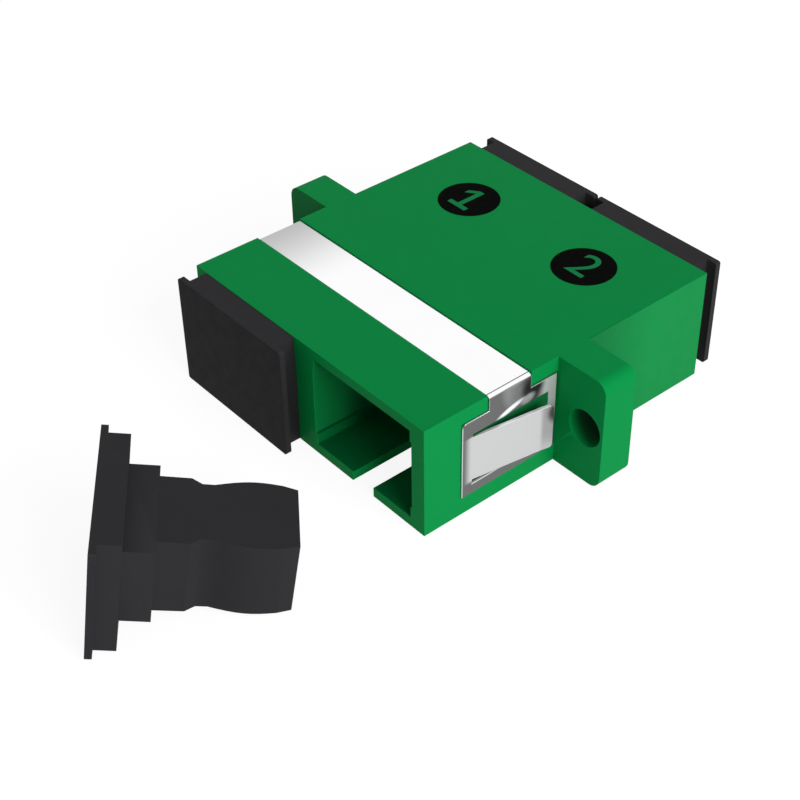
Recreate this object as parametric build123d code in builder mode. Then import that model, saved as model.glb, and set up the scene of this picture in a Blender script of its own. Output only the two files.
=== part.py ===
from build123d import *
import os
from math import atan, cos, radians, sin

# Duplex fibre optic adapter with a screw flange, a spring clip for a panel cut-out and four dust caps,
# one of them taken off and lying in front of its port. Sizes are in millimetres. The origin is midway
# between the two screw holes, on the front face of the flange: +X is to the right, seen from the front
# ports, +Y runs from the front ports to the rear ones, and +Z is up.
os.makedirs("parts", exist_ok=True)

# Ports, two on each side of the housing
port_width = 10.4
port_height = 7.8
port_depth = 11.9
middle_wall = 2.3
side_wall = 1.45
cover_wall = 0.8
rib_thickness = 1.2

# Shallow guides in the ports' side walls, and key slots through the underside
guide_depth = 0.15
guide_ledge = 0.95
guide_stop = 2.1
key_slot_width = 2.3
key_slot_length = 8.5

# Flange ears with their screw holes
front_length = 12.4
flange_thickness = 3.0
screw_hole_radius = 1.5
ear_inner_wall = 1.35
ear_outer_wall = 0.25
ear_radius = 1.0

# Alignment sleeves, split along their top
sleeve_radius = 1.25
sleeve_wall = 0.35
sleeve_length = 11.4
sleeve_slit = 0.4
sleeve_clearance = 0.1

# Latch holders: a plate across the port, a tube round the sleeve and two hooked arms
latch_clearance = 0.05
latch_plate_thickness = 1.4
latch_lug_height = 2.4
latch_lug_length = 0.9
tube_wall = 0.5
tube_lip = 0.8
tube_mouth_clearance = 0.2
arm_thickness = 0.8
arm_height = 3.0
hook_reach = 0.5
hook_depth = 4.85
hook_length = 0.8

# Panel clip, one folded sheet: a strip across the top, and on each side a cheek with a sprung tongue
sheet = 0.25
bend_radius = 0.1
strip_width = 3.9
strip_below_top = 0.1
strip_clearance = 0.1
cheek_length = 8.85
cheek_flange_gap = 0.2
cheek_shoulder = 2.45
cheek_below_top = 1.3
cheek_above_foot = 1.6
cheek_proud = 0.1
cheek_clearance = 0.05
cheek_corner = 0.4
window_front_edge = 0.95
window_back_edge = 0.75
window_upper_edge = 1.23
window_lower_edge = 0.85
tongue_head_clearance = 0.29
tongue_foot_clearance = 0.36
tongue_panel_room = 1.45
tongue_spring = 0.91
tongue_tip = 0.9
tongue_tip_spring = 0.2
tongue_corner = 0.3

# Dust caps: a plate, a block and a collar in steps, and a plug with a waist for the hooks
cap_plate_thickness = 0.5
cap_plate_gap = 0.2
cap_plate_corner = 0.2
cap_height_clearance = 0.05
cap_block_overlap = 0.15
cap_block_length = 1.5
collar_side_gap = 1.0
collar_length = 2.05
plug_width = 6.3
plug_waist_width = 5.3
plug_bulge_width = 6.36
plug_shoulder_width = 6.05
plug_slope = 0.7
plug_flare = 0.3
plug_bulge_length = 1.95
plug_nose_length = 1.0
plug_wall = 0.6
plug_tip_wall = 0.25
plug_taper = 0.17
plug_tube_clearance = 0.25
plug_tube_room = 0.4
plug_end_clearance = 0.75
hook_clearance = 0.04

# Where the cap that was taken off lies, in front of the right port
loose_cap_x = 4.14
loose_cap_distance = 18.15
loose_cap_turn = 36.0

# Sizes and places that follow
port_pitch = port_width + middle_wall
housing_width = port_pitch + port_width + 2 * side_wall
housing_height = port_height + 2 * cover_wall
half_width = housing_width / 2
half_length = port_depth + latch_plate_thickness + rib_thickness / 2
front_face = -front_length
middle = front_face + half_length
rear_face = middle + half_length
top = housing_height / 2
foot = -top
guide_width = port_width + 2 * guide_depth
screw_spacing = housing_width + 2 * (ear_inner_wall + screw_hole_radius)
flange_span = screw_spacing + 2 * (screw_hole_radius + ear_outer_wall)
sleeve_outer = sleeve_radius + sleeve_wall
tube_bore = sleeve_outer + sleeve_clearance
tube_outer = tube_bore + tube_wall
tube_half = sleeve_length / 2 + sleeve_clearance + tube_lip
tube_mouth_depth = half_length - tube_half
hook_half_gap = plug_bulge_width / 2 + hook_clearance
arm_inner = hook_half_gap + hook_reach
arm_outer = arm_inner + arm_thickness
lug_pocket_length = latch_lug_length + 2 * latch_clearance
lug_pocket_depth = port_depth + (latch_plate_thickness - lug_pocket_length) / 2
core_half_width = half_width + cheek_proud - sheet
core_top = top - strip_below_top - sheet
cheek_back = -cheek_flange_gap
cheek_front = cheek_back - cheek_length
cheek_head = top - cheek_below_top
cheek_foot = foot + cheek_above_foot
strip_front = cheek_front + cheek_shoulder
strip_back = strip_front + strip_width
beyond = 2 * flange_span

port_centres = {"left": -port_pitch / 2, "right": port_pitch / 2}
port_faces = {"front": (front_face, 1), "rear": (rear_face, -1)}
port_seats = {
    (side, channel): Plane((x, face, 0), x_dir=(1, 0, 0), z_dir=(0, inwards, 0))
    for side, (face, inwards) in port_faces.items()
    for channel, x in port_centres.items()
}


def plan_view(seat):
    """Level plane through a port's axis, whose y runs from the port's mouth inwards."""
    return Plane(seat.origin, x_dir=seat.x_dir, z_dir=-seat.y_dir)


def upright_view(seat):
    """Upright plane through a port's axis, whose x runs from the port's mouth inwards."""
    return Plane(seat.origin, x_dir=seat.z_dir, z_dir=seat.x_dir)


# Housing: one moulding with its flange ears, four ports, and a seat for the clip
with BuildPart() as housing:
    with BuildSketch(Plane.XZ.offset(-front_face)):
        Rectangle(housing_width, housing_height)
    extrude(amount=-2 * half_length)
    with BuildSketch(Plane.XZ):
        RectangleRounded(flange_span, housing_height, ear_radius)
        with Locations((-screw_spacing / 2, 0), (screw_spacing / 2, 0)):
            Circle(screw_hole_radius, mode=Mode.SUBTRACT)
    extrude(amount=-flange_thickness)
    for seat in port_seats.values():
        with BuildSketch(seat):
            Rectangle(port_width, port_height)
        extrude(amount=port_depth + latch_plate_thickness, mode=Mode.SUBTRACT)
        with BuildSketch(seat):
            Rectangle(guide_width, port_height - 2 * guide_ledge)
        extrude(amount=port_depth - guide_stop, mode=Mode.SUBTRACT)
        with BuildSketch(seat.offset(lug_pocket_depth)):
            Rectangle(guide_width, latch_lug_height + 2 * latch_clearance)
        extrude(amount=lug_pocket_length, mode=Mode.SUBTRACT)
        with BuildSketch(seat):
            Circle(tube_outer + latch_clearance)
        extrude(amount=half_length, mode=Mode.SUBTRACT)
        with BuildSketch(Plane((seat.origin.X, seat.origin.Y, foot))):
            Rectangle(key_slot_width, 2 * key_slot_length)
        extrude(amount=cover_wall, mode=Mode.SUBTRACT)
    with BuildSketch(Plane.XZ.offset(strip_clearance - strip_front)):
        with Locations((0, cheek_head + housing_height)):
            Rectangle(beyond, 2 * housing_height)
        with Locations((0, core_top - housing_height)):
            RectangleRounded(2 * core_half_width, 2 * housing_height, bend_radius, mode=Mode.SUBTRACT)
    extrude(amount=-strip_width - 2 * strip_clearance, mode=Mode.SUBTRACT)
    for side in (-1, 1):
        with BuildSketch(Plane.YZ.offset(side * core_half_width)):
            with Locations(((cheek_front - cheek_clearance) / 2, (cheek_head + cheek_foot) / 2)):
                Rectangle(cheek_clearance - cheek_front, cheek_head - cheek_foot + 2 * cheek_clearance)
        extrude(amount=side * side_wall, mode=Mode.SUBTRACT)
housing.part.label = "housing"
export_step(housing.part, "parts/housing.step")

# Panel clip: the sheet is folded over the top and down both sides, then cut to its outline
window_front = cheek_front + window_front_edge
window_back = cheek_back - window_back_edge
window_head = cheek_head - window_upper_edge
window_foot = cheek_foot + window_lower_edge
tongue_head = window_head - tongue_head_clearance
tongue_foot = window_foot + tongue_foot_clearance
tongue_end = -tongue_panel_room
tongue_fold = tongue_end - tongue_tip
with BuildPart() as panel_clip:
    with BuildSketch(Plane.XZ.offset(-cheek_front)):
        with Locations((0, core_top + sheet - housing_height)):
            RectangleRounded(2 * (core_half_width + sheet), 2 * housing_height, bend_radius + sheet)
        with Locations((0, core_top - housing_height)):
            RectangleRounded(2 * core_half_width, 2 * housing_height, bend_radius, mode=Mode.SUBTRACT)
        with Locations((0, cheek_foot - housing_height)):
            Rectangle(beyond, 2 * housing_height, mode=Mode.SUBTRACT)
    extrude(amount=-cheek_length)
    with BuildSketch(Plane.YZ):
        with Locations(((cheek_front + strip_front) / 2, cheek_head + housing_height / 2)):
            Rectangle(strip_front - cheek_front, housing_height)
        with Locations(((strip_back + cheek_back) / 2, cheek_head + housing_height / 2)):
            Rectangle(cheek_back - strip_back, housing_height)
        with Locations(((window_front + window_back) / 2, (window_head + window_foot) / 2)):
            Rectangle(window_back - window_front, window_head - window_foot)
    extrude(amount=flange_span, both=True, mode=Mode.SUBTRACT)
    cheek_corners = panel_clip.edges().filter_by(Axis.X).group_by(Axis.Y)[0].group_by(Axis.Z)[-1]
    fillet(cheek_corners, cheek_corner)
    for side in (-1, 1):
        inner = side * core_half_width
        outer = side * (core_half_width + sheet)
        fold = side * tongue_spring
        tip = fold + side * tongue_tip_spring
        with BuildSketch(Plane.XY.offset(tongue_foot)):
            with BuildLine():
                Polyline(
                    (inner, cheek_front + cheek_corner),
                    (inner, window_front),
                    (inner + fold, tongue_fold),
                    (inner + tip, tongue_end),
                    (outer + tip, tongue_end),
                    (outer + fold, tongue_fold),
                    (outer, window_front),
                    (outer, cheek_front + cheek_corner),
                    close=True,
                )
            make_face()
        extrude(amount=tongue_head - tongue_foot)
    tongue_corners = panel_clip.edges().filter_by(Axis.X).filter_by_position(Axis.Y, tongue_end, tongue_end)
    fillet(tongue_corners, tongue_corner)
panel_clip.part.label = "panel_clip"
export_step(panel_clip.part, "parts/panel_clip.step")


def latch_holder(seat):
    """Plate that fills the port's inner end, with the sleeve's tube and two hooked arms on it."""
    tube_mouth = seat.offset(tube_mouth_depth)
    with BuildPart() as latch:
        with BuildSketch(seat.offset(port_depth)):
            Rectangle(port_width - 2 * latch_clearance, port_height - 2 * latch_clearance)
        extrude(amount=latch_plate_thickness)
        with BuildSketch(seat.offset(lug_pocket_depth + latch_clearance)):
            Rectangle(guide_width - 2 * latch_clearance, latch_lug_height)
        extrude(amount=latch_lug_length)
        with BuildSketch(tube_mouth):
            Circle(tube_outer)
        extrude(amount=tube_half)
        with BuildSketch(tube_mouth):
            Circle(sleeve_radius + tube_mouth_clearance)
        extrude(amount=tube_half, mode=Mode.SUBTRACT)
        with BuildSketch(tube_mouth.offset(tube_lip)):
            Circle(tube_bore)
        extrude(amount=tube_half - tube_lip, mode=Mode.SUBTRACT)
        for side in (-1, 1):
            with BuildSketch(plan_view(seat)):
                with BuildLine():
                    Polyline(
                        (side * arm_inner, port_depth),
                        (side * arm_inner, hook_depth + hook_length),
                        (side * hook_half_gap, hook_depth + hook_length),
                        (side * hook_half_gap, hook_depth + hook_length / 2),
                        (side * arm_inner, hook_depth),
                        (side * arm_outer, hook_depth),
                        (side * arm_outer, port_depth),
                        close=True,
                    )
                make_face()
            extrude(amount=arm_height / 2, both=True)
    return latch


for (side, channel), seat in port_seats.items():
    latch = latch_holder(seat)
    latch.part.label = f"{side}_latch_{channel}"
    export_step(latch.part, f"parts/{side}_latch_{channel}.step")

# Alignment sleeves: thin ceramic tubes that spring open along a slit to grip two ferrules end to end
for channel, centre in port_centres.items():
    with BuildPart() as sleeve:
        with BuildSketch(Plane.XZ.offset(sleeve_length / 2 - middle)):
            with Locations((centre, 0)):
                Circle(sleeve_outer)
                Circle(sleeve_radius, mode=Mode.SUBTRACT)
            with Locations((centre, sleeve_outer)):
                Rectangle(sleeve_slit, sleeve_outer, mode=Mode.SUBTRACT)
        extrude(amount=-sleeve_length)
    sleeve.part.label = f"sleeve_{channel}"
    export_step(sleeve.part, f"parts/sleeve_{channel}.step")

# Dust cap sizes that follow from the ports, the hooks and the tube that the plug goes over
plug_depth = port_depth - plug_end_clearance
plug_bore = tube_outer + plug_tube_clearance
plug_bore_length = plug_depth - tube_mouth_depth + plug_tube_room
plug_height = 2 * (plug_bore + plug_wall)
plug_tip_height = plug_height - 2 * plug_taper
plug_tip_width = 2 * (plug_bore + plug_tip_wall)
waist_end = hook_depth + hook_length
shoulder_depth = plug_depth - plug_nose_length
bulge_depth = shoulder_depth - plug_bulge_length
nose_narrowing = (plug_shoulder_width - plug_tip_width) / 2
cap_height = housing_height - 2 * cap_height_clearance
cap_block_width = port_width + 2 * cap_block_overlap


def dust_cap(seat):
    """Cap whose block meets the seat plane, with its hollow plug on the side the plane points to."""
    with BuildPart() as cap:
        with BuildSketch(plan_view(seat)):
            with BuildLine():
                Polyline(
                    (0, collar_length),
                    (plug_width / 2, collar_length),
                    (plug_width / 2, hook_depth - plug_slope),
                    (plug_waist_width / 2, hook_depth),
                    (plug_waist_width / 2, waist_end),
                )
                Spline(
                    (plug_waist_width / 2, waist_end),
                    (plug_bulge_width / 2, bulge_depth),
                    (plug_shoulder_width / 2, shoulder_depth),
                    tangents=[(plug_flare, 1), (-nose_narrowing, 2 * plug_nose_length)],
                )
                Polyline(
                    (plug_shoulder_width / 2, shoulder_depth),
                    (plug_tip_width / 2, plug_depth),
                    (0, plug_depth),
                )
                mirror(about=Plane.YZ)
            make_face()
        extrude(amount=plug_height / 2, both=True)
        with BuildSketch(upright_view(seat)):
            with BuildLine():
                Polyline(
                    (collar_length, -plug_height / 2),
                    (plug_depth, -plug_tip_height / 2),
                    (plug_depth, plug_tip_height / 2),
                    (collar_length, plug_height / 2),
                    close=True,
                )
            make_face()
        extrude(amount=plug_bulge_width, both=True, mode=Mode.INTERSECT)
        with BuildSketch(seat.offset(plug_depth)):
            Circle(plug_bore)
        extrude(amount=-plug_bore_length, mode=Mode.SUBTRACT)
        with BuildSketch(seat):
            Rectangle(port_width - 2 * collar_side_gap, plug_height)
        extrude(amount=collar_length)
        with BuildSketch(seat):
            Rectangle(cap_block_width, cap_height)
        extrude(amount=-cap_block_length)
        with BuildSketch(seat.offset(-cap_block_length)):
            RectangleRounded(port_pitch - cap_plate_gap, cap_height, cap_plate_corner)
        extrude(amount=-cap_plate_thickness)
    return cap


# The cap that was taken off lies on the lower edge of its block and on the tip of its plug
loose_tilt = atan((cap_height - plug_tip_height) / 2 / plug_depth)
loose_turn = radians(loose_cap_turn)
loose_seat = Plane(
    (loose_cap_x, front_face - loose_cap_distance, foot + cap_height / 2 * cos(loose_tilt)),
    x_dir=(cos(loose_turn), -sin(loose_turn), 0),
    z_dir=(sin(loose_turn) * cos(loose_tilt), cos(loose_turn) * cos(loose_tilt), -sin(loose_tilt)),
)
cap_seats = {
    "dust_cap_front_left": port_seats["front", "left"],
    "dust_cap_rear_left": port_seats["rear", "left"],
    "dust_cap_rear_right": port_seats["rear", "right"],
    "dust_cap_taken_off": loose_seat,
}
for name, seat in cap_seats.items():
    cap = dust_cap(seat)
    cap.part.label = name
    export_step(cap.part, f"parts/{name}.step")
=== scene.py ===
import bpy
from math import radians
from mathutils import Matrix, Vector


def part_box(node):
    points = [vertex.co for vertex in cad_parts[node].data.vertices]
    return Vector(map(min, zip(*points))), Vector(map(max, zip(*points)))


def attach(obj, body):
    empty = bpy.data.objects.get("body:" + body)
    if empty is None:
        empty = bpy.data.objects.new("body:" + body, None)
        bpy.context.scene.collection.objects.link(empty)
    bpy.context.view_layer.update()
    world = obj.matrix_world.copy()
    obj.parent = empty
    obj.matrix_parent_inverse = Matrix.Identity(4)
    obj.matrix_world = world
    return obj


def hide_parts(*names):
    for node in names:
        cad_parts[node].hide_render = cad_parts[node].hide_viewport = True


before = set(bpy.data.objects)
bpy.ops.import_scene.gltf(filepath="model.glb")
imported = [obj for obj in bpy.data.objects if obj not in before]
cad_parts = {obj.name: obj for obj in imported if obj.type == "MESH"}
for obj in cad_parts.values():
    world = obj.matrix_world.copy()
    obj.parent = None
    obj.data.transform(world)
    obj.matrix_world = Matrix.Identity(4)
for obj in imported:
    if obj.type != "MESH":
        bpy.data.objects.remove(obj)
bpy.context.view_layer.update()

# Camera: a long lens above the front right corner, as near as a hand's width to a part this small.
# Its place and turn were fitted to the corners of the housing.
bpy.ops.object.camera_add(
    location=(0.07474, -0.06575, 0.07269),
    rotation=(radians(51.329), radians(0.763), radians(49.627)),
)
camera = bpy.context.object
camera.name = "camera"
camera.data.sensor_width = 36
camera.data.lens = 73
camera.data.clip_start = 0.001
camera.data.clip_end = 20
bpy.context.scene.camera = camera
bpy.context.scene.view_settings.view_transform = "Standard"

# Studio: a white paper floor under a white sky, and one broad lamp low on the right.
# The floor and the sky look white in themselves, and only part of that light falls on the object.
floor_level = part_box("housing")[0][2]
bpy.ops.mesh.primitive_plane_add(size=4, location=(0, 0, floor_level))
floor = bpy.context.object
floor.name = "floor"


def add_node(nodes, kind, **values):
    """Adds a shader node and sets what is named: a property, or the default of an input."""
    node = nodes.new(kind)
    for name, value in values.items():
        if name in node.bl_rna.properties:
            setattr(node, name, value)
        else:
            node.inputs[name.replace("_", " ")].default_value = value
    return node


def seen_directly(nodes, links):
    """One for light that reaches the camera straight, by reflection or through glass, else zero."""
    path = add_node(nodes, "ShaderNodeLightPath")
    straight = add_node(nodes, "ShaderNodeMath", operation="MAXIMUM")
    links.new(path.outputs["Is Camera Ray"], straight.inputs[0])
    links.new(path.outputs["Is Glossy Ray"], straight.inputs[1])
    either = add_node(nodes, "ShaderNodeMath", operation="MAXIMUM")
    links.new(straight.outputs[0], either.inputs[0])
    links.new(path.outputs["Is Transmission Ray"], either.inputs[1])
    return either.outputs[0]


paper = bpy.data.materials.new("floor_paper")
paper.use_nodes = True
nodes, links = paper.node_tree.nodes, paper.node_tree.links
nodes.clear()
matt = add_node(nodes, "ShaderNodeBsdfDiffuse", Color=(0.7, 0.7, 0.7, 1))
glow = add_node(nodes, "ShaderNodeEmission", Strength=1.15)
glow_share = 0.78
share = add_node(nodes, "ShaderNodeMath", operation="MULTIPLY")
share.inputs[1].default_value = glow_share
links.new(seen_directly(nodes, links), share.inputs[0])
blend = add_node(nodes, "ShaderNodeMixShader")
links.new(share.outputs[0], blend.inputs["Fac"])
links.new(matt.outputs["BSDF"], blend.inputs[1])
links.new(glow.outputs["Emission"], blend.inputs[2])
surface = add_node(nodes, "ShaderNodeOutputMaterial")
links.new(blend.outputs["Shader"], surface.inputs["Surface"])
floor.data.materials.append(paper)

sky = bpy.data.worlds.new("sky")
sky.use_nodes = True
bpy.context.scene.world = sky
nodes, links = sky.node_tree.nodes, sky.node_tree.links
nodes.clear()
level = add_node(nodes, "ShaderNodeMapRange")
level.inputs["To Min"].default_value = 0.4
level.inputs["To Max"].default_value = 1
links.new(seen_directly(nodes, links), level.inputs["Value"])
light = add_node(nodes, "ShaderNodeBackground", Color=(1, 1, 1, 1))
links.new(level.outputs["Result"], light.inputs["Strength"])
surface = add_node(nodes, "ShaderNodeOutputWorld")
links.new(light.outputs["Background"], surface.inputs["Surface"])

lamp_place = Vector((0.52, -0.02, 0.27))
bpy.ops.object.light_add(type="AREA", location=lamp_place)
lamp = bpy.context.object
lamp.name = "lamp_right"
lamp.rotation_euler = (-lamp_place).to_track_quat("-Z", "Y").to_euler()
lamp.data.size = 0.4
lamp.data.energy = 3.5

# Housing: one green moulding with its flange, its four ports and the seat of the clip.
# It is injection moulded in a plastic with a fine satin surface, and its edges are barely broken.
# Painted shade darkens its ports, screw holes, clip seat, the sides behind the ears and the left ear's
# front.


def chamfered_copy(node, name, chamfer):
    """A node's own shape with its triangles joined and its sharp edges broken."""
    piece = bpy.data.objects.new(name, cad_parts[node].data.copy())
    piece.data.materials.clear()
    bpy.context.collection.objects.link(piece)
    bpy.ops.object.select_all(action="DESELECT")
    piece.select_set(True)
    bpy.context.view_layer.objects.active = piece
    bpy.ops.object.mode_set(mode="EDIT")
    bpy.ops.mesh.select_all(action="SELECT")
    bpy.ops.mesh.remove_doubles(threshold=1e-6)
    bpy.ops.mesh.dissolve_limited(angle_limit=radians(0.2))
    bpy.ops.mesh.select_all(action="DESELECT")
    bpy.ops.mesh.edges_select_sharp(sharpness=radians(32))
    bpy.ops.mesh.bevel(offset=chamfer, segments=1, clamp_overlap=True)
    bpy.ops.object.mode_set(mode="OBJECT")
    bpy.ops.object.shade_smooth_by_angle(angle=radians(30))
    return piece


grain = bpy.data.node_groups.new("moulded_grain", "ShaderNodeTree")
grain.interface.new_socket("Grain Depth", in_out="INPUT", socket_type="NodeSocketFloat")
grain.interface.new_socket("Tone", in_out="OUTPUT", socket_type="NodeSocketFloat")
grain.interface.new_socket("Polish", in_out="OUTPUT", socket_type="NodeSocketFloat")
grain.interface.new_socket("Normal", in_out="OUTPUT", socket_type="NodeSocketVector")
nodes, links = grain.nodes, grain.links
given = add_node(nodes, "NodeGroupInput")
made = add_node(nodes, "NodeGroupOutput")
place = add_node(nodes, "ShaderNodeTexCoord")
flow = add_node(nodes, "ShaderNodeTexNoise", Scale=160, Detail=3)
spark = add_node(nodes, "ShaderNodeTexNoise", Scale=9000, Detail=2)
patch = add_node(nodes, "ShaderNodeTexNoise", Scale=900, Detail=4)
for texture in (flow, spark, patch):
    links.new(place.outputs["Object"], texture.inputs["Vector"])
relief = add_node(nodes, "ShaderNodeBump", Distance=0.00002)
links.new(given.outputs["Grain Depth"], relief.inputs["Strength"])
links.new(spark.outputs["Fac"], relief.inputs["Height"])
links.new(flow.outputs["Fac"], made.inputs["Tone"])
links.new(patch.outputs["Fac"], made.inputs["Polish"])
links.new(relief.outputs["Normal"], made.inputs["Normal"])


def moulded_plastic(name, dark, light, smooth, rough, specular, depth):
    """Plastic whose colour and gloss drift a little, with a fine spark-eroded grain."""
    material = bpy.data.materials.new(name)
    material.use_nodes = True
    nodes, links = material.node_tree.nodes, material.node_tree.links
    shader = nodes["Principled BSDF"]
    shader.inputs["Specular IOR Level"].default_value = specular
    surface = add_node(nodes, "ShaderNodeGroup", node_tree=grain)
    surface.inputs["Grain Depth"].default_value = depth
    tone = add_node(nodes, "ShaderNodeMix", data_type="RGBA")
    tone.inputs["A"].default_value = (*dark, 1)
    tone.inputs["B"].default_value = (*light, 1)
    links.new(surface.outputs["Tone"], tone.inputs["Factor"])
    links.new(tone.outputs["Result"], shader.inputs["Base Color"])
    gloss = add_node(nodes, "ShaderNodeMapRange")
    gloss.inputs["To Min"].default_value = smooth
    gloss.inputs["To Max"].default_value = rough
    links.new(surface.outputs["Polish"], gloss.inputs["Value"])
    links.new(gloss.outputs["Result"], shader.inputs["Roughness"])
    links.new(surface.outputs["Normal"], shader.inputs["Normal"])
    return material


def rise(value, low, high):
    """Goes smoothly from zero to one as a length goes from low to high, given in millimetres."""
    tree = value.id_data
    step = add_node(tree.nodes, "ShaderNodeMapRange", interpolation_type="SMOOTHSTEP")
    step.inputs["From Min"].default_value = low / 1000
    step.inputs["From Max"].default_value = high / 1000
    tree.links.new(value, step.inputs["Value"])
    return step.outputs["Result"]


def arithmetic(operation, first, second):
    """One sum on two values, either of which may be a plain number."""
    tree = first.id_data
    sum_node = add_node(tree.nodes, "ShaderNodeMath", operation=operation)
    for socket, value in zip(sum_node.inputs, (first, second)):
        if isinstance(value, (int, float)):
            socket.default_value = value
        else:
            tree.links.new(value, socket)
    return sum_node.outputs[0]


def together(*masks):
    """The product of masks."""
    product = masks[0]
    for mask in masks[1:]:
        product = arithmetic("MULTIPLY", product, mask)
    return product


def distance(value, centre):
    """How far a length lies from a centre, given in millimetres."""
    return arithmetic("ABSOLUTE", arithmetic("SUBTRACT", value, centre / 1000), 0)


def object_axes(material):
    """X, Y and Z of a place on a piece, as three values."""
    tree = material.node_tree
    place = add_node(tree.nodes, "ShaderNodeTexCoord")
    axes = add_node(tree.nodes, "ShaderNodeSeparateXYZ")
    tree.links.new(place.outputs["Object"], axes.inputs["Vector"])
    return [axes.outputs[name] for name in ("X", "Y", "Z")]


def tinted(under, mask, colour):
    """Lays a colour over another where a mask is one."""
    tree = under.id_data
    mix = add_node(tree.nodes, "ShaderNodeMix", data_type="RGBA")
    mix.inputs["B"].default_value = (*colour, 1)
    tree.links.new(mask, mix.inputs["Factor"])
    tree.links.new(under, mix.inputs["A"])
    return mix.outputs["Result"]


housing_green = moulded_plastic(
    "housing_green",
    dark=(0.001, 0.226, 0.05),
    light=(0.001, 0.244, 0.054),
    smooth=0.45,
    rough=0.6,
    specular=0.035,
    depth=0.25,
)
x, y, z = object_axes(housing_green)
# Places on the housing in millimetres: the part's own, and about the middle of the clip's seat.
half_width, half_length, housing_middle = 13, 13.9, 1.5
port_centre, screw_centre, clip_centre = 6.35, 15.85, -4.6
ear_front, ear_back = 0, 3
# How far the painted shade inside a port has gone at its mouth and on its floor, from zero to one.
mouth_shade, floor_shade = 0.4, 0.8
from_side = distance(x, 0)
from_port = distance(from_side, port_centre)
from_middle = distance(y, housing_middle)
in_port = together(
    rise(from_port, 6, 5.8),
    rise(distance(z, 0), 3.98, 3.92),
    rise(from_middle, half_length - 0.04, half_length - 0.1),
)
# Painted shade in the ports: darker deeper in, at least mouth_shade at the mouth, more on the floor,
# and a dark line along each guide ledge.
deep = arithmetic("MAXIMUM", rise(from_middle, half_length - 0.3, half_length - 5.5), mouth_shade)
bottom = arithmetic("MULTIPLY", rise(z, -3.7, -3.85), floor_shade)
ledge = together(rise(distance(z, -2.95), 0.12, 0.04), rise(from_port, 5.15, 5.19))
shade = arithmetic("MAXIMUM", arithmetic("MAXIMUM", deep, bottom), ledge)
# Painted shade: the screw holes' bores get darker deeper in.
in_hole = together(
    rise(distance(from_side, screw_centre), 1.7, 1.6),
    rise(distance(z, 0), 1.7, 1.6),
    rise(from_middle, 1.48, 1.44),
    rise(y, ear_front - 0.6, ear_back - 1.1),
)
# Painted shade on the housing's side under the clip's cheeks and window.
clip_seat = together(
    rise(from_side, half_width - 0.25, half_width - 0.2),
    rise(from_side, half_width - 0.05, half_width - 0.1),
    rise(distance(y, clip_centre), 4.3, 4.2),
    rise(distance(z, 0), 3, 2.9),
)
# Painted shade on the housing's side just behind each ear, fading over 7.5 mm.
behind_ear = together(
    rise(from_side, half_width - 0.1, half_width - 0.04),
    rise(from_side, half_width + 0.1, half_width + 0.04),
    rise(y, ear_back + 7.5, ear_back),
    rise(y, ear_back - 0.05, ear_back + 0.05),
)
# Painted shade on the left ear's front face.
left_ear_front = together(
    rise(x, 0.05 - half_width, -half_width),
    rise(distance(y, ear_front), 0.03, 0.02),
)
links = housing_green.node_tree.links
shader = housing_green.node_tree.nodes["Principled BSDF"]
green = shader.inputs["Base Color"].links[0].from_socket
# Painted shade laid over the green, mask by mask: the ports, the screw holes, the clip's seat, behind
# the ears and the left ear's front.
green = tinted(green, together(in_port, shade), (0.001, 0.09, 0.026))
green = tinted(green, in_hole, (0.001, 0.025, 0.008))
green = tinted(green, clip_seat, (0.004, 0.12, 0.03))
green = tinted(green, behind_ear, (0.001, 0.163, 0.038))
green = tinted(green, left_ear_front, (0.001, 0.147, 0.033))
links.new(green, shader.inputs["Base Color"])
housing = chamfered_copy("housing", "housing_moulding", chamfer=0.00006)
housing.data.materials.append(housing_green)
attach(housing, "adapter")
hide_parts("housing")

# Panel clip: one strip of bright spring steel, folded over the top and down both sides.
# Its cheeks are less metallic and carry painted reflections, and painted highlights lie along its
# edges and tongues.
spring_steel = bpy.data.materials.new("spring_steel")
spring_steel.use_nodes = True
nodes, links = spring_steel.node_tree.nodes, spring_steel.node_tree.links
shader = nodes["Principled BSDF"]
x, y, z = object_axes(spring_steel)
place = add_node(nodes, "ShaderNodeTexCoord")
outwards = distance(x, 0)


def reflection_oval(along, up, length, height, turn=0):
    """A soft oval of painted reflection on the cheeks: its centre and half sizes along Y and Z in mm,
    and its turn.
    """
    oval = add_node(nodes, "ShaderNodeMapping", vector_type="TEXTURE")
    oval.inputs["Location"].default_value = (0, along / 1000, up / 1000)
    oval.inputs["Rotation"].default_value = (radians(turn), 0, 0)
    oval.inputs["Scale"].default_value = (1, length / 1000, height / 1000)
    links.new(place.outputs["Object"], oval.inputs["Vector"])
    fade = add_node(nodes, "ShaderNodeTexGradient", gradient_type="SPHERICAL")
    links.new(oval.outputs["Vector"], fade.inputs["Vector"])
    step = add_node(nodes, "ShaderNodeMapRange", interpolation_type="SMOOTHSTEP")
    step.inputs["From Max"].default_value = 0.6
    links.new(fade.outputs["Fac"], step.inputs["Value"])
    return step.outputs["Result"]


def grey(level):
    """A steel grey of a given brightness."""
    return (level, level, level * 1.01)


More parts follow.
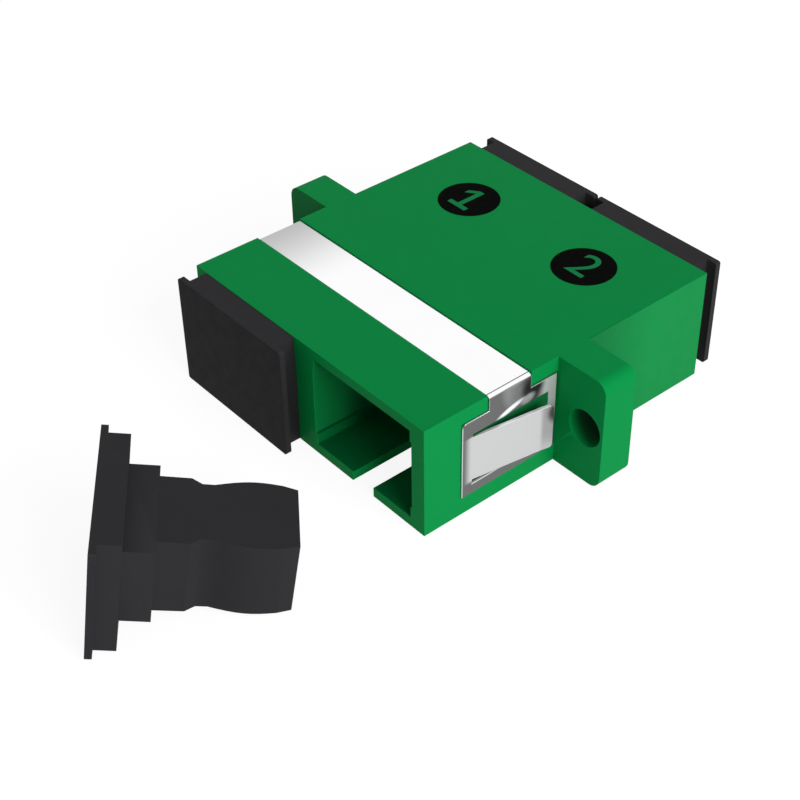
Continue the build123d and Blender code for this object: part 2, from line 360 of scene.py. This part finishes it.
wave = add_node(nodes, "ShaderNodeTexNoise", Scale=260, Detail=1)
links.new(place.outputs["Object"], wave.inputs["Vector"])
bright = add_node(nodes, "ShaderNodeMix", data_type="RGBA")
bright.inputs["A"].default_value = (*grey(0.95), 1)
bright.inputs["B"].default_value = (*grey(0.99), 1)
links.new(wave.outputs["Fac"], bright.inputs["Factor"])
cheek = together(rise(outwards, half_width, half_width + 0.08), rise(z, 4.52, 4.42))
root_to_tip = together(rise(y, -8.95, -8.15), rise(y, -1.1, -1.25))
tongue = together(cheek, root_to_tip, rise(z, -2.2, -1.9), rise(z, 2.05, 1.85))
tongue_edge = together(
    cheek,
    rise(y, -8.2, -8),
    rise(y, -1.1, -1.25),
    rise(z, 1.84, 1.86),
    rise(z, 2.05, 2),
)
lip = together(rise(distance(z, -2.28), 0.08, 0.05), rise(y, -8.2, -8.1), rise(y, -5, -6.5))
skin = rise(outwards, half_width - 0.06, half_width - 0.03)
from_neck = distance(y, -4.65)
front_edge = together(skin, rise(y, -8.96, -9), rise(z, 4.52, 4.42))
neck_edge = together(skin, rise(from_neck, 1.92, 1.94), rise(z, 3.4, 3.5), rise(z, 4.5, 4.3))
shoulder_edge = together(skin, rise(from_neck, 1.92, 1.96), rise(z, 3.33, 3.37), rise(z, 3.5, 3.45))
# Painted reflections, a painted highlight along each tongue's top and painted shade in the fold, laid
# one over the other: where, and how bright.
patches = (
    (rise(x, -4.5, -14), 0.48),
    (together(rise(distance(x, half_width - 0.24), 0.05, 0.03), rise(z, 4.5, 4.55)), 0.1),
    (cheek, 0.105),
    (together(cheek, reflection_oval(-4.3, 3.7, 1.3, 2.2, turn=20)), 0.22),
    (together(cheek, rise(y, -2.2, -1.2), rise(z, -1, 1.5)), 0.6),
    (together(cheek, reflection_oval(-2.5, 3.35, 1.4, 1.3)), 0.03),
    (together(cheek, reflection_oval(-2.95, 2.58, 0.9, 0.5, turn=12)), 0.4),
    (together(cheek, reflection_oval(-4.6, 2.53, 1.65, 0.3, turn=15)), 0.97),
    (tongue, 0.53),
    (together(tongue, rise(y, -2.6, -2.15), rise(z, -2.8, -0.3)), 0.31),
    (together(tongue, reflection_oval(-1.2, 1.25, 1, 1.25)), 0.03),
    (tongue_edge, 0.75),
)
steel = bright.outputs["Result"]
for mask, level in patches:
    steel = tinted(steel, mask, grey(level))
# Painted shadow along the window's lower lip, under the tongue.
steel = tinted(steel, lip, (0.01, 0.04, 0.02))
# Painted highlights along the sheet's front edge, the neck's edges, the shoulder and the lip's outer
# edge.
for edge in (front_edge, neck_edge, shoulder_edge, together(lip, skin)):
    steel = tinted(steel, edge, grey(0.6))
links.new(steel, shader.inputs["Base Color"])
matt = add_node(nodes, "ShaderNodeMapRange")
matt.inputs["To Min"].default_value = 1
matt.inputs["To Max"].default_value = 0.4
links.new(arithmetic("MAXIMUM", cheek, lip), matt.inputs["Value"])
links.new(matt.outputs["Result"], shader.inputs["Metallic"])
stretch = add_node(nodes, "ShaderNodeMapping")
stretch.inputs["Scale"].default_value = (1, 10, 1)
links.new(place.outputs["Object"], stretch.inputs["Vector"])
rolled = add_node(nodes, "ShaderNodeTexNoise", Scale=500, Detail=2)
links.new(stretch.outputs["Vector"], rolled.inputs["Vector"])
gloss = add_node(nodes, "ShaderNodeMapRange")
gloss.inputs["To Min"].default_value = 0.16
gloss.inputs["To Max"].default_value = 0.22
links.new(rolled.outputs["Fac"], gloss.inputs["Value"])
links.new(gloss.outputs["Result"], shader.inputs["Roughness"])
ripple = add_node(nodes, "ShaderNodeBump", Strength=0.25, Distance=0.0001)
links.new(wave.outputs["Fac"], ripple.inputs["Height"])
links.new(ripple.outputs["Normal"], shader.inputs["Normal"])
clip = chamfered_copy("panel_clip", "panel_clip_sheet", chamfer=0.00003)
clip.data.materials.append(spring_steel)
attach(clip, "adapter")
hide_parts("panel_clip")

# Latch holders: four green mouldings deep in the ports, each with a tube and two hooked arms.
# They are the same plastic as the housing, a shade darker and smoother.
latch_green = moulded_plastic(
    "latch_green",
    dark=(0.001, 0.16, 0.036),
    light=(0.001, 0.2, 0.045),
    smooth=0.3,
    rough=0.45,
    specular=0.2,
    depth=0.15,
)
for end in ("front", "rear"):
    for channel in ("left", "right"):
        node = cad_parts[f"{end}_latch_{channel}"]
        node.data.materials.clear()
        node.data.materials.append(latch_green)

# Alignment sleeves: thin white ceramic tubes, ground smooth, with a slit along the top.
# They sit in the latch holders' tubes, in the middle of the housing.
ceramic = bpy.data.materials.new("zirconia_white")
ceramic.use_nodes = True
nodes, links = ceramic.node_tree.nodes, ceramic.node_tree.links
shader = nodes["Principled BSDF"]
place = add_node(nodes, "ShaderNodeTexCoord")
ground = add_node(nodes, "ShaderNodeTexNoise", Scale=4000, Detail=2)
links.new(place.outputs["Object"], ground.inputs["Vector"])
glaze = add_node(nodes, "ShaderNodeMapRange")
glaze.inputs["To Min"].default_value = 0.12
glaze.inputs["To Max"].default_value = 0.22
links.new(ground.outputs["Fac"], glaze.inputs["Value"])
links.new(glaze.outputs["Result"], shader.inputs["Roughness"])
body = add_node(nodes, "ShaderNodeMix", data_type="RGBA")
body.inputs["A"].default_value = (0.84, 0.82, 0.76, 1)
body.inputs["B"].default_value = (0.88, 0.87, 0.83, 1)
links.new(ground.outputs["Fac"], body.inputs["Factor"])
links.new(body.outputs["Result"], shader.inputs["Base Color"])
for channel in ("left", "right"):
    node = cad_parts[f"sleeve_{channel}"]
    node.data.materials.clear()
    node.data.materials.append(ceramic)

# Dust caps: soft black mouldings, three in their ports and one taken off.
# Each is a flat plate with a stepped block behind it, and a hollow plug with a waist for the hooks.
cap_black = moulded_plastic(
    "cap_black",
    dark=(0.0212, 0.0208, 0.0228),
    light=(0.0256, 0.0252, 0.0272),
    smooth=0.5,
    rough=0.7,
    specular=0.05,
    depth=0.5,
)
cap_face = 15.9
from_middle = distance(object_axes(cap_black)[1], housing_middle)
# Painted shade: the caps' outer faces are coloured darker than the rest of the black.
outer_face = together(rise(from_middle, cap_face - 0.06, cap_face - 0.02), rise(from_middle, 19, 18.8))
shader = cap_black.node_tree.nodes["Principled BSDF"]
black = shader.inputs["Base Color"].links[0].from_socket
black = tinted(black, outer_face, (0.0125, 0.012, 0.0138))
cap_black.node_tree.links.new(black, shader.inputs["Base Color"])
cap_bodies = {
    "dust_cap_front_left": "front_left_cap",
    "dust_cap_rear_left": "rear_left_cap",
    "dust_cap_rear_right": "rear_right_cap",
    "dust_cap_taken_off": "adapter",
}
for node, body in cap_bodies.items():
    cap = chamfered_copy(node, f"{node}_moulding", chamfer=0.00006)
    cap.data.materials.append(cap_black)
    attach(cap, body)
    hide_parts(node)

# Port marks: a black disc printed over each rear port, with the port's number in green.
# The print is a thin film that stands hardly proud of the plastic.
print_black = bpy.data.materials.new("print_black")
print_green = bpy.data.materials.new("print_green")
for material, thin, thick in (
    (print_black, (0.003, 0.004, 0.003), (0.0005, 0.0005, 0.0005)),
    (print_green, (0.01, 0.19, 0.06), (0.01, 0.22, 0.07)),
):
    material.use_nodes = True
    nodes, links = material.node_tree.nodes, material.node_tree.links
    shader = nodes["Principled BSDF"]
    shader.inputs["Specular IOR Level"].default_value = 0.01
    place = add_node(nodes, "ShaderNodeTexCoord")
    cover = add_node(nodes, "ShaderNodeTexNoise", Scale=3000, Detail=3)
    links.new(place.outputs["Object"], cover.inputs["Vector"])
    coat = add_node(nodes, "ShaderNodeMix", data_type="RGBA")
    coat.inputs["A"].default_value = (*thin, 1)
    coat.inputs["B"].default_value = (*thick, 1)
    links.new(cover.outputs["Fac"], coat.inputs["Factor"])
    links.new(coat.outputs["Result"], shader.inputs["Base Color"])
    dry = add_node(nodes, "ShaderNodeMapRange")
    dry.inputs["To Min"].default_value = 0.6
    dry.inputs["To Max"].default_value = 0.8
    links.new(cover.outputs["Fac"], dry.inputs["Value"])
    links.new(dry.outputs["Result"], shader.inputs["Roughness"])
film = 0.00001
mark_place, disc_radius = 0.0092, 0.0025
figure_height, stroke = 0.0029, 0.00045
foot_reach, flag_reach, flag_drop = 0.00075, 0.0008, 0.00056
text_size = 0.0042  # gives a figure as high as figure_height
housing_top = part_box("housing")[1][2]
left, right = (
    Vector((sum(corner[0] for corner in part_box(f"sleeve_{channel}")) / 2, mark_place, housing_top))
    for channel in ("left", "right")
)


def thickened(piece):
    """Gives a flat outline the thickness of the printed film."""
    bpy.ops.mesh.select_all(action="SELECT")
    bpy.ops.mesh.extrude_region_move(TRANSFORM_OT_translate={"value": (0, 0, film)})
    bpy.ops.mesh.select_all(action="SELECT")
    bpy.ops.mesh.normals_make_consistent(inside=False)
    bpy.ops.object.mode_set(mode="OBJECT")
    return piece


for number, centre in (("1", left), ("2", right)):
    bpy.ops.object.select_all(action="DESELECT")
    bpy.ops.mesh.primitive_circle_add(
        vertices=64,
        radius=disc_radius,
        fill_type="NGON",
        location=centre,
    )
    disc = bpy.context.object
    disc.name = f"port_disc_{number}"
    bpy.ops.object.transform_apply(location=True, rotation=True, scale=True)
    bpy.ops.object.mode_set(mode="EDIT")
    thickened(disc)
    disc.data.materials.append(print_black)
    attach(disc, "adapter")

bpy.ops.object.select_all(action="DESELECT")
bpy.ops.mesh.primitive_plane_add(size=1, location=left + Vector((0, 0, film)))
one = bpy.context.object
one.name = "port_number_1"
one.scale = (stroke, figure_height, 1)
bpy.ops.object.transform_apply(location=True, rotation=True, scale=True)
bpy.ops.object.mode_set(mode="EDIT")
for end in (-1, 1):
    bpy.ops.mesh.select_all(action="SELECT")
    cut = left.y + end * (figure_height / 2 - stroke)
    bpy.ops.mesh.bisect(plane_co=(0, cut, 0), plane_no=(0, 1, 0))
bpy.ops.mesh.select_mode(type="EDGE")
for side, end, reach, drop in (
    (-1, 1, flag_reach, -flag_drop),
    (-1, -1, foot_reach, 0),
    (1, -1, foot_reach, 0),
):
    edge_middle = left + Vector((side * stroke / 2, end * (figure_height - stroke) / 2, film))
    bpy.ops.mesh.select_all(action="DESELECT")
    bpy.ops.object.mode_set(mode="OBJECT")
    for edge in one.data.edges:
        first, last = (one.data.vertices[corner].co for corner in edge.vertices)
        edge.select = ((first + last) / 2 - edge_middle).length < stroke / 10
    bpy.ops.object.mode_set(mode="EDIT")
    bpy.ops.mesh.extrude_region_move(TRANSFORM_OT_translate={"value": (side * reach, drop, 0)})
thickened(one)
bpy.ops.object.select_all(action="DESELECT")
bpy.ops.object.text_add(align="WORLD", location=right + Vector((0, 0, film * 1.5)))
two = bpy.context.object
two.name = "port_number_2"
two.data.body = "2"
two.data.size = text_size
two.data.extrude = film / 2
two.data.align_x = "CENTER"
two.data.align_y = "CENTER"
bpy.ops.object.convert(target="MESH")
bpy.ops.object.transform_apply(location=True, rotation=True, scale=True)
two = bpy.context.object
for figure in (one, two):
    figure.data.materials.append(print_green)
    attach(figure, "adapter")
